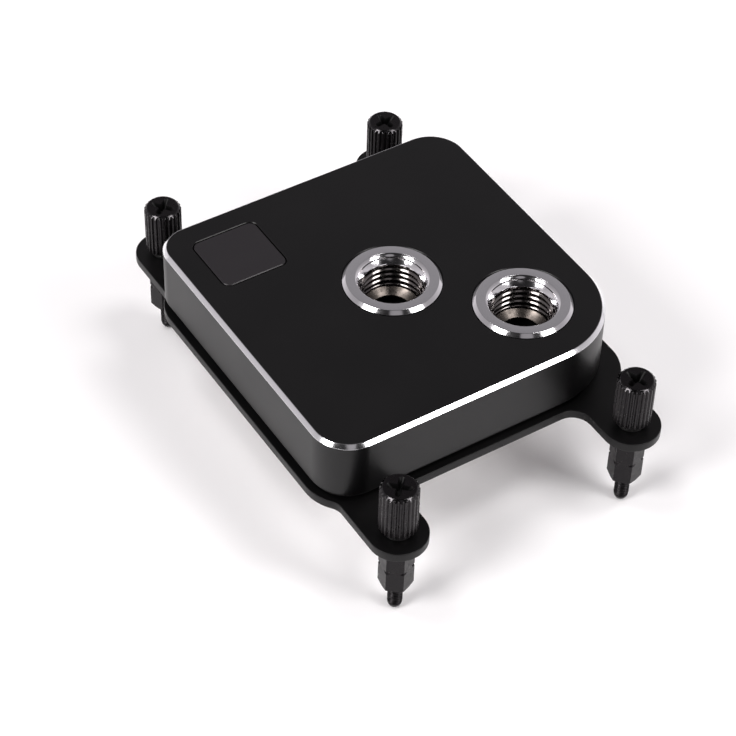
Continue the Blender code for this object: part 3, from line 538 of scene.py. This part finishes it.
def build_flow_body():
    """Moulded body: rounded lip under the cover's foot, block inside it, port bores and ducts."""
    lip, blunt = Z_FOOT - LIP_GAP, LIP_EDGE * 0.3
    steps = [(LIP_INSET + LIP_EDGE, BODY_LOW.z), (LIP_INSET + blunt, BODY_LOW.z + blunt),
             (LIP_INSET, BODY_LOW.z + LIP_EDGE), (LIP_INSET, lip - LIP_EDGE),
             (LIP_INSET + blunt, lip - blunt), (LIP_INSET + LIP_EDGE, lip),
             (BLOCK_INSET, lip), (BLOCK_INSET, BLOCK_TOP)]
    mesh = solid("flow_block", [at(cover_outline(d), z) for d, z in steps])
    tools = [turned("bore", [(BODY_BORE, BODY_BORE_FLOOR), (BODY_BORE, Z_TOP)], 64, *centre(node))
             for node in PORTS.values()]
    chamber = rounded(CHAMBER_HALF, CHAMBER_HALF, CHAMBER_RADIUS, 8)
    tools.append(prism("chamber", chamber, HOLLOW_LOW, CHAMBER_TOP))
    pocket = rounded(POCKET_X, POCKET_Y, POCKET_RADIUS, 6)
    tools.append(prism("pocket", pocket, HOLLOW_LOW, POCKET_TOP))
    for r, out in DUCTS:
        tools.append(turned("duct", [(r, DUCT_LOW), (r, DUCT_TOP)], 48, out, -out))
    piece("moulded_body", cut(mesh, tools), [PLASTIC], "block", ["flow_body"])


def tab_outline(n=14):
    """The frame's outline: a square with four round-ended tabs blended into it."""
    side = BRACKET_HIGH.x
    c = side - FRAME_CORNER
    fillet_x = PATTERN_X + TAB + TAB_FILLET
    fillet_y = c + math.sqrt((FRAME_CORNER + TAB_FILLET) ** 2 - (fillet_x - c) ** 2)
    turn = math.degrees(math.atan2(fillet_y - c, fillet_x - c))
    quarter = arc(c, c, FRAME_CORNER, 0, turn, n)
    quarter += arc(fillet_x, fillet_y, TAB_FILLET, 180 + turn, 180, n // 2)[1:]
    quarter += arc(PATTERN_X, PATTERN_Y, TAB, 0, 180, 3 * n)
    quarter += arc(PATTERN_X - TAB - INNER_FILLET, side + INNER_FILLET, INNER_FILLET, 0, -90, n // 2)
    points = list(quarter)
    points += [(-x, y) for x, y in reversed(quarter)]
    points += [(-x, -y) for x, y in quarter]
    points += [(x, -y) for x, y in reversed(quarter)]
    same = 0.001 * MM
    kept = [p for k, p in enumerate(points) if k == 0 or math.dist(p, points[k - 1]) > same]
    return kept[:-1] if math.dist(kept[0], kept[-1]) < same else kept


def build_bracket():
    """Flat frame with softened edges, its opening and four clearance holes."""
    outline = tab_outline()
    low, high = BRACKET_LOW.z, BRACKET_HIGH.z
    steps = [(0.16 * MM, low), (0.05 * MM, low + 0.05 * MM), (0.0, low + 0.16 * MM),
             (0.0, high - 0.22 * MM), (0.06 * MM, high - 0.07 * MM), (0.2 * MM, high)]
    mesh = solid("frame_plate", [at(inset(outline, d) if d else outline, z) for d, z in steps])

    def hole(make):
        """Cutter through the plate, flared at both faces, of an outline widened by what it is passed."""
        wide, clear, flare = make(2 * FRAME_FLARE), make(0.0), FRAME_FLARE
        return solid("hole", [
            at(wide, low - PAST), at(wide, low - flare), at(clear, low + flare),
            at(clear, high - flare), at(wide, high + flare), at(wide, high + PAST)])

    tools = [hole(lambda g: rounded(OPENING_HALF + g, OPENING_HALF + g, OPENING_RADIUS + g, 12))]
    for sx in (-1, 1):
        for sy in (-1, 1):
            tools.append(hole(lambda g: circle(FRAME_HOLE + g, 40, sx * PATTERN_X, sy * PATTERN_Y)))
    piece("mounting_frame", cut(mesh, tools), [COATED], "block", ["bracket"])


def build_cold_plate():
    """Plated base: lapped contact face, raised boss, fins and countersunk holes."""
    floor = COLD_LOW.z

    def flange(d, z):
        """Ring of the flange, moved inwards by d, at z over the contact face."""
        return at(rounded(COLD_HIGH.x - d, COLD_HIGH.x - d, FLANGE_RADIUS - d, 12), floor + z)

    def boss(d, z):
        """Ring of the boss, moved inwards by d, at z over the contact face."""
        return at(rounded(BOSS_HALF - d, BOSS_HALF - d, BOSS_RADIUS - d, 12), floor + z)

    edge = 0.15 * MM
    rings = [flange(0.40 * MM, 0.0), flange(0.03 * MM, 0.36 * MM), flange(0.0, 0.45 * MM),
             flange(0.0, FLANGE_TOP - edge), flange(edge, FLANGE_TOP), boss(0.0, FLANGE_TOP),
             boss(0.0, BOSS_TOP - edge), boss(edge, BOSS_TOP)]
    mesh = solid("base", rings, caps=(1, 0))
    mesh.materials.append(COLD)
    mesh.materials.append(LAPPED)
    sink = [(2.75 * MM, -PAST), (2.62 * MM, 0.0), (2.62 * MM, 0.45 * MM), (1.45 * MM, 1.62 * MM),
            (1.45 * MM, 8.0 * MM)]
    mesh = cut(mesh, [turned("sink", sink, 40, *centre(node)) for node in BASE_SCREWS])
    bm = bmesh.new()
    bm.from_mesh(mesh)
    root, tip = floor + BOSS_TOP - 0.1 * MM, floor + BOSS_TOP + FIN_HEIGHT
    levels = [(FIN_HALF, root), (FIN_HALF, tip - 0.1 * MM), (FIN_HALF * 0.7, tip)]
    for k in range(FINS):
        x = (k - (FINS - 1) / 2) * FIN_PITCH
        skin(bm, [at([(x - half, -FIN_REACH), (x + half, -FIN_REACH), (x + half, FIN_REACH),
                      (x - half, FIN_REACH)], z) for half, z in levels])
    bm.to_mesh(mesh)
    bm.free()
    piece("finned_base", mesh, [COLD, LAPPED], "block", ["cold_plate"])


def build_base_screws():
    """Eight countersunk screws with hexagonal sockets."""
    head = [(2.2, 0.1), (2.36, 0.14), (2.4, 0.24), (2.4, 0.4), (1.27, 1.53), (1.25, 8.3), (1.0, 8.5)]
    socket = [(1.15, -0.1), (0.95, 0.2), (0.95, 1.1)]
    screw = cut(turned("countersunk", [(r * MM, z * MM) for r, z in head], 40),
                [turned("socket", [(r * MM, z * MM) for r, z in socket], 6)])
    for k, node in enumerate(BASE_SCREWS, 1):
        piece(f"base_screw_{k}", screw.copy(), [STEEL], "block", [node],
              (*centre(node), 0.0), turn=17 * k)


# Pieces of the four stations, drawn about their own axis

def knurled_cap(low, high):
    """Fluted cap, hollow below, with a turned cone and face on top."""
    n = FLUTES * FLUTE_POINTS

    def ring(limit, z):
        """Ring at z, the knurl cut back to limit."""
        out = []
        for k in range(n):
            a = 2 * math.pi * k / n
            u = abs((k % FLUTE_POINTS) / FLUTE_POINTS - 0.5) * 2
            wall = CAP_RADIUS - FLUTE_DEPTH * min(1.0, max(0.0, (0.72 - u) / 0.5))
            r = min(wall, limit)
            out.append((r * math.cos(a), r * math.sin(a), z))
        return out

    whole = CAP_RADIUS * 1.1
    foot_out, foot_up = 0.27 * MM, 0.2 * MM
    rings = [at(circle(BELL, n), high - BELL_ROOF), at(circle(BELL, n), low + 0.15 * MM),
             at(circle(BELL_MOUTH, n), low), ring(CAP_FOOT, low)]
    rings += [ring(CAP_FOOT + foot_out * k / 3, low + foot_up * k / 3) for k in range(1, 4)]
    rings += [ring(whole, low + foot_up + 0.04 * MM), ring(whole, high - CAP_CONE)]
    bands = [0] * (len(rings) - 1)
    slope = CAP_CONE * 0.95
    rings += [ring(CAP_RADIUS - slope * k / 7, high - CAP_CONE + slope * k / 7) for k in range(1, 8)]
    bands += [1] * 7
    rings += [at(circle(CAP_FACE, n), high), at(circle(2.98 * MM, n), high - 0.03 * MM)]
    bands += [1, 2]
    return solid("cap", rings, caps=(0, 2), bands=bands)


def cross(scale, narrow, z):
    """Cross outline with rounded arm ends at z, its reach and its arms' width scaled."""
    out = []
    h, v = CROSS_HALF * scale, CROSS_ARM * narrow
    for k in range(4):
        a = math.radians(90 * k)
        c, s = math.cos(a), math.sin(a)
        arm = [(v, -v)] + arc(h - v, 0.0, v, -90, 90, 6)
        out += [(x * c - y * s, x * s + y * c, z) for x, y in arm]
    return out


def screw_mesh():
    """Knurled cap with a tapered cross recess, and a shank with a rolled thread."""
    high = SCREW_HIGH.z
    recess = solid("recess", [
        cross(0.42, 0.55, high - CROSS_DEPTH), cross(0.8, 0.8, high - 0.55 * MM),
        cross(0.95, 0.95, high - 0.15 * MM), cross(1.06, 1.15, high + 0.1 * MM)])
    bm = bmesh.new()
    bm.from_mesh(cut(knurled_cap(high - CAP_HEIGHT, high), [recess]))
    # The recess walls take material 3, the near-black painted shade of the cross recess.
    for face in bm.faces:
        if face.material_index == 0 and face.calc_center_median().z > high - CROSS_DEPTH - 0.1 * MM:
            face.material_index = 3
    tip = SCREW_LOW.z

    def radius(z, share):
        """Thread that tapers off at the tip."""
        ease = min(1.0, (z - tip) / TAPER_LONG)
        return min(SHANK - SHANK_DEPTH * share, SHANK - (1 - ease) * TAPER_DEEP)

    skin(bm, thread_rings(SHANK_POINTS, SHANK_ROWS, tip, high - SHANK_START, SHANK_PITCH, -1, radius))
    return new_mesh("knurled_screw", bm)


def spacer_mesh():
    """Hexagonal spacer with turned ends, a marking groove, a tapped bore and a threaded round-nosed stub."""
    top, low, tip = SPACER_HIGH.z, SPACER_HIGH.z - SPACER_HEIGHT, SPACER_LOW.z
    n = SPACER_POINTS
    corner = 2 * SPACER_HALF / math.sqrt(3)
    face = SPACER_HALF - 0.1 * MM
    whole = corner * 1.1

    def ring(limit, z):
        """Hexagon ring at z, cut back to limit."""
        out = []
        for k in range(n):
            a = 2 * math.pi * k / n
            within = math.fmod(a, math.pi / 3) - math.pi / 6
            r = min(corner * math.cos(math.pi / 6) / math.cos(within), limit)
            out.append((r * math.cos(a), r * math.sin(a), z))
        return out

    def cone(end, side, order):
        """Turned end of the hexagon, from its face out to its corners, side telling which way is inwards."""
        return [ring(face + (corner - face) * k / 4, end + side * SPACER_EDGE * k / 4) for k in order]

    rings = [at(circle(BORE_FLOOR, n), top - BORE_LONG)]
    rings += thread_rings(n, BORE_ROWS, top - BORE_END, top - BORE_START, SHANK_PITCH, -1,
                          lambda z, share: BORE + BORE_DEPTH * share)
    rings += [at(circle(BORE_MOUTH, n), top)]
    rings += cone(top, -1, range(5))
    rings += [ring(whole, GROOVE_HIGH), ring(GROOVE, GROOVE_HIGH - GROOVE_SLOPE),
              ring(GROOVE, GROOVE_LOW + GROOVE_SLOPE), ring(whole, GROOVE_LOW)]
    rings += cone(low, 1, range(4, -1, -1))
    rings += [at(circle(NECK_TOP, n), low), at(circle(NECK, n), low - NECK_LONG)]
    rings += thread_rings(n, STUB_ROWS, low - STUB_START, tip + STUB_END, STUB_PITCH, -1,
                          lambda z, share: STUB - STUB_DEPTH * share)
    for deg in (0, 20, 40, 60, 75, 85):
        a = math.radians(deg)
        rings.append(at(circle(STUB_NOSE * math.cos(a), n), tip + STUB_NOSE * (1 - math.sin(a))))
    return solid("hex_spacer", rings)


def coil_mesh(low, high):
    """Compression spring with closed ends."""
    wire, radius, turns, shut = 0.25 * MM, 2.4 * MM, 5.5, 0.75
    per_turn, around = 28, 8
    steps = int(turns * per_turn)
    rings = []
    for k in range(steps + 1):
        t = turns * k / steps
        climb = min(1.0, max(0.0, (t - shut) / (turns - 2 * shut)))
        climb = 0.9 * climb + 0.1 * climb * climb * (3 - 2 * climb)
        rise = wire * min(t, shut) / shut
        fall = wire * (1 - min(turns - t, shut) / shut)
        z = low + wire + rise + (high - low - 4 * wire) * climb + fall
        a = 2 * math.pi * t
        centre_line = Vector((radius * math.cos(a), radius * math.sin(a), z))
        out = Vector((math.cos(a), math.sin(a), 0.0))
        rings.append([tuple(centre_line + out * x + Vector((0, 0, 1)) * y) for x, y in circle(wire, around)])
    return solid("coil", rings)


def washer_mesh(name, low, high):
    """Washer with broken edges."""
    c = WASHER_EDGE
    profile = [(WASHER_IN, low + c), (WASHER_IN + c, low), (WASHER_OUT - c, low), (WASHER_OUT, low + c),
               (WASHER_OUT, high - c), (WASHER_OUT - c, high), (WASHER_IN + c, high), (WASHER_IN, high - c)]
    return solid(name, turned_rings(profile, 40), closed=True)


def build_stations():
    """The four tabs' hardware."""
    screw = screw_mesh()
    spacer = spacer_mesh()
    spring = coil_mesh(SEAT_HIGH.z + SPRING_GAP, SLIP_LOW.z - SPRING_GAP)
    seat = washer_mesh("seat_ring", SEAT_LOW.z - WASHER_FILL, SEAT_HIGH.z)
    slip = washer_mesh("slip_ring", SLIP_LOW.z, SLIP_HIGH.z + WASHER_FILL)
    for name, (spacer_turn, screw_turn) in STATIONS.items():
        x, y = centre("slip_washer_" + name)
        spot = (x, y, 0.0)
        piece("knurled_screw_" + name, screw.copy(), [HARDWARE, HARDWARE_CUT, HARDWARE_TOP, RECESS_PAINTED_SHADE],
              "screw_" + name, ["thumb_screw_" + name], spot, screw_turn, 38)
        piece("hex_spacer_" + name, spacer.copy(), [SPACER], "block",
              ["standoff_" + name], spot, spacer_turn, 28)
        piece("coil_spring_" + name, spring.copy(), [STEEL], "block",
              ["spring_" + name], spot,
              stretch=("washer_" + name, (x, y, SEAT_HIGH.z), (x, y, SLIP_LOW.z)))
        piece("seat_ring_" + name, seat.copy(), [NYLON], "block", ["seat_washer_" + name], spot)
        piece("slip_ring_" + name, slip.copy(), [NYLON], "washer_" + name,
              ["slip_washer_" + name], spot)


def dress_hidden_nodes():
    """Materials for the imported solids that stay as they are."""
    for node, mat in (("main_seal", RUBBER), ("inlet_port_seal", RUBBER), ("outlet_port_seal", RUBBER),
                      ("jet_plate", STEEL)):
        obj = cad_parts[node]
        obj.data.materials.clear()
        obj.data.materials.append(mat)


# Studio: world levels by elevation in degrees, then the dim camera side and a faint patch in it, as
# azimuth, elevation, inner and outer radius in degrees
SKY = ((0, 0.95), (23, 0.48), (45, 0.33), (66, 0.05), (90, 0.03))
CAMERA_SIDE, CAMERA_SIDE_LEVEL = (239.0, 39.0, 31.0, 46.0), 0.02
FRONT_PATCH, FRONT_PATCH_LEVEL = (248.0, 44.0, 9.0, 12.0), 0.36
SKY_COLOUR, LAMP_COLOUR = (1.0, 0.955, 0.99, 1.0), (1.0, 0.985, 0.98)
# Name, azimuth, elevation, distance, side, level
SOFT_BOXES = (
    ("soft_box_right", -63.0, 37.0, 1.30, 0.46, 10.2),
    ("soft_box_left", 184.0, 39.0, 1.30, 0.46, 15.8),
    ("top_box_right", 326.0, 69.0, 1.30, 0.36, 10.0),
    ("top_box_left", 146.0, 69.0, 1.30, 0.36, 10.6),
)
FLOOR_REACH, FLOOR_GAP = 3.0, 0.05 * MM

# Camera fitted to the photograph: angles in degrees, distance, shift across and up, the height that it
# looks at, and focal length in pixels of the frame
CAMERA_AZIMUTH, CAMERA_ELEVATION, CAMERA_ROLL = -33.461, 45.1255, 1.8238
CAMERA_FAR, CAMERA_ACROSS, CAMERA_UP = 486.743 * MM, -4.4637 * MM, -6.9135 * MM
CAMERA_TARGET_Z = 5.0 * MM
FOCAL_PIXELS, FRAME_PIXELS, SENSOR = 2413.653, 736, 36.0


def direction(az, el):
    """Unit vector at an azimuth from +X and an elevation, in degrees."""
    a, e = math.radians(az), math.radians(el)
    return Vector((math.cos(a) * math.cos(e), math.sin(a) * math.cos(e), math.sin(e)))


def build_floor():
    """Pale paper just below the stub tips."""
    bm = bmesh.new()
    z = SPACER_LOW.z - FLOOR_GAP
    bm.faces.new([bm.verts.new((sx * FLOOR_REACH, sy * FLOOR_REACH, z))
                  for sx, sy in ((-1, -1), (1, -1), (1, 1), (-1, 1))])
    floor = bpy.data.objects.new("floor", new_mesh("floor", bm))
    bpy.context.scene.collection.objects.link(floor)
    floor.data.materials.append(finish(
        "floor_paper", (0.95, 0.94, 0.95), 0.9, 0.0, specular=0.1, colour_b=(0.94, 0.93, 0.94),
        mottle=3.0, rough_swing=0.02, grain=400.0, grain_depth=0.002))


def build_world():
    """Graded sky that lights and reflects, and plain white where the camera sees past the floor."""
    world = bpy.data.worlds.new("studio")
    bpy.context.scene.world = world
    world.use_nodes = True
    tree = world.node_tree
    tree.nodes.clear()
    where = add_node(tree, "ShaderNodeTexCoord").outputs["Generated"]

    def toward(az, el, inner, outer):
        """1 within inner degrees of a direction, falling to 0 at outer degrees."""
        dot = add_node(tree, "ShaderNodeVectorMath", {0: where, 1: direction(az, el)},
                       operation="DOT_PRODUCT")
        return add_node(tree, "ShaderNodeMapRange", {
            "Value": dot.outputs["Value"], "From Min": math.cos(math.radians(outer)),
            "From Max": math.cos(math.radians(inner))}, interpolation_type="SMOOTHSTEP").outputs["Result"]

    def blend(share, low, high):
        """Mix of two levels."""
        return add_node(tree, "ShaderNodeMix", {"Factor": share, "A": low, "B": high},
                        data_type="FLOAT").outputs["Result"]

    height = add_node(tree, "ShaderNodeSeparateXYZ", {"Vector": where}).outputs["Z"]
    climb = add_node(tree, "ShaderNodeValToRGB", {"Fac": height})
    steps = climb.color_ramp.elements
    steps[0].position, steps[0].color = 0.0, (SKY[0][1],) * 3 + (1.0,)
    steps[1].position, steps[1].color = 1.0, (SKY[-1][1],) * 3 + (1.0,)
    for el, level in SKY[1:-1]:
        steps.new(math.sin(math.radians(el))).color = (level,) * 3 + (1.0,)
    shaded = blend(toward(*CAMERA_SIDE), climb.outputs["Color"], CAMERA_SIDE_LEVEL)
    level = blend(toward(*FRONT_PATCH), shaded, FRONT_PATCH_LEVEL)
    lit = add_node(tree, "ShaderNodeBackground", {"Color": SKY_COLOUR, "Strength": level})
    seen = add_node(tree, "ShaderNodeBackground", {"Color": (1.0, 1.0, 1.0, 1.0)})
    mix = add_node(tree, "ShaderNodeMixShader", {
        "Fac": add_node(tree, "ShaderNodeLightPath").outputs["Is Camera Ray"],
        1: lit.outputs["Background"], 2: seen.outputs["Background"]})
    add_node(tree, "ShaderNodeOutputWorld", {"Surface": mix.outputs["Shader"]})


def build_lamps():
    """Square soft boxes that face the object, as bright as their level whatever their size."""
    for name, az, el, far, side, level in SOFT_BOXES:
        light = bpy.data.lights.new(name, "AREA")
        light.shape = "RECTANGLE"
        light.size = side
        light.size_y = side
        light.energy = level * math.pi * side * side
        light.color = LAMP_COLOUR
        obj = bpy.data.objects.new(name, light)
        bpy.context.scene.collection.objects.link(obj)
        spot = direction(az, el)
        obj.location = spot * far
        obj.rotation_euler = spot.to_track_quat("Z", "Y").to_euler()


def build_camera():
    """Camera at the photograph's viewing angle, roll, distance and lens."""
    az, el, roll = (math.radians(a) for a in (CAMERA_AZIMUTH, CAMERA_ELEVATION, CAMERA_ROLL))
    back = Vector((math.sin(az) * math.cos(el), -math.cos(az) * math.cos(el), math.sin(el)))
    level = Vector((math.cos(az), math.sin(az), 0.0))
    upright = back.cross(level)
    right = level * math.cos(roll) + upright * math.sin(roll)
    up = upright * math.cos(roll) - level * math.sin(roll)
    spot = right * CAMERA_ACROSS + up * CAMERA_UP + back * CAMERA_FAR + Vector((0.0, 0.0, CAMERA_TARGET_Z))
    camera = bpy.data.cameras.new("camera")
    camera.sensor_width = SENSOR
    camera.lens = FOCAL_PIXELS / FRAME_PIXELS * SENSOR
    camera.clip_start = 0.01
    camera.clip_end = 20.0
    obj = bpy.data.objects.new("camera", camera)
    bpy.context.scene.collection.objects.link(obj)
    obj.matrix_world = Matrix.Translation(spot) @ Matrix((right, up, back)).transposed().to_4x4()
    bpy.context.scene.camera = obj


build_cover()
build_badge()
for port_name, port_node in PORTS.items():
    build_port(port_name, port_node)
build_flow_body()
build_bracket()
build_cold_plate()
build_base_screws()
build_stations()
dress_hidden_nodes()
build_floor()
build_world()
build_lamps()
build_camera()
bpy.context.scene.view_settings.view_transform = "Standard"
